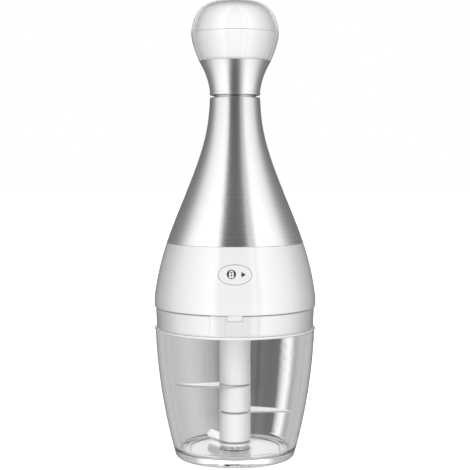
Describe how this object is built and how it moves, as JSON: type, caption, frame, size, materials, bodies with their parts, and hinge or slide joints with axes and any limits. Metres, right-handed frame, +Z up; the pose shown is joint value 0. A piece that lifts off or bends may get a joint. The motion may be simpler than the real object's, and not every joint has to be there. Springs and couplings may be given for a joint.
{
  "type": "push-operated food chopper",
  "caption": "Hand-powered mini food processor: a clear bowl with sickle blades under a steel bottle-shaped head with a push knob and an oval release button.",
  "frame": {"origin": "middle of the bowl's foot, on the surface the chopper stands on", "axes": "+Z up along the common axis; -Y towards the button, the front"},
  "size_m": [0.1, 0.1, 0.2818],
  "materials": {
    "clear_plastic": "clear, polished, thick-walled",
    "white_gloss": "moulded, glossy white",
    "white_satin": "moulded, satin white",
    "brushed_steel": "fine brushing round the axis",
    "blade_steel": "ground, bright edge",
    "polished_steel": "turned and polished",
    "spring_wire": "drawn wire",
    "silicone": "translucent white silicone",
    "bronze": "sintered bronze",
    "grey_plastic": "self-lubricating grey plastic"
  },
  "bodies": {
    "bowl": {"bowl": "clear_plastic", "pivot_pin": "polished_steel"},
    "lid": {"lock_ring": "white_gloss", "lid_disc": "white_satin", "rim_seal": "silicone"},
    "head": {"skirt": "white_gloss", "steel_shell": "brushed_steel", "head_base": "white_satin", "spindle_bush": "bronze", "guide_tube": "white_satin", "guide_screws": "polished_steel", "base_screws": "polished_steel", "neck_ring": "white_satin", "detent_ring": "spring_wire", "button_bracket": "white_satin"},
    "plunger": {"plunger_tube": "brushed_steel", "drive_nut": "grey_plastic", "tube_plug": "white_satin", "knob_base": "white_satin", "knob_collar": "brushed_steel", "knob_core_lower": "white_gloss", "knob_core_cap": "white_gloss", "knob_shell": "clear_plastic", "knob_screw": "polished_steel", "return_spring": "spring_wire"},
    "spindle": {"spindle": "polished_steel", "spiral_rod": "polished_steel", "spring_cap": "polished_steel", "retaining_ring": "polished_steel", "shaft_core": "white_satin", "shaft_foot": "white_gloss", "shaft_lower": "white_gloss", "shaft_middle": "white_gloss", "shaft_upper": "white_gloss", "lower_blade": "blade_steel", "middle_blade": "blade_steel", "upper_blade": "blade_steel"},
    "button": {"release_button": "white_gloss", "button_spring": "spring_wire"},
    "latch": {"latch_slide": "white_gloss", "latch_spring": "spring_wire"}
  },
  "joints": [
    {"name": "lid_lift", "type": "slide", "parent": "bowl", "child": "lid", "axis": [0, 0, 1], "range_m": [0, 0.09]},
    {"name": "head_twist", "type": "hinge", "parent": "lid", "child": "head", "pos_m": [0, 0, 0.0919], "axis": [0, 0, 1], "range_deg": [-12, 0]},
    {"name": "knob_slide", "type": "slide", "parent": "head", "child": "plunger", "axis": [0, 0, 1], "range_m": [0, 0.054], "deforming": ["return_spring", "detent_ring"]},
    {"name": "blade_spin", "type": "hinge", "parent": "head", "child": "spindle", "pos_m": [0, 0, 0.1019], "axis": [0, 0, 1], "range_deg": [-541, 1]},
    {"name": "button_press", "type": "slide", "parent": "head", "child": "button", "axis": [0, 1, 0], "range_m": [0, 0.002], "stiffness_N_per_m": 500, "springref_m": -0.0005, "deforming": ["button_spring"]},
    {"name": "latch_lift", "type": "slide", "parent": "head", "child": "latch", "axis": [0, 0, 1], "range_m": [0, 0.002], "deforming": ["latch_spring"]}
  ],
  "couplings": [
    {"joint": "blade_spin", "follows": "knob_slide", "rad_per_m": -174.53},
    {"joint": "latch_lift", "follows": "button_press", "ratio": 1}
  ]
}
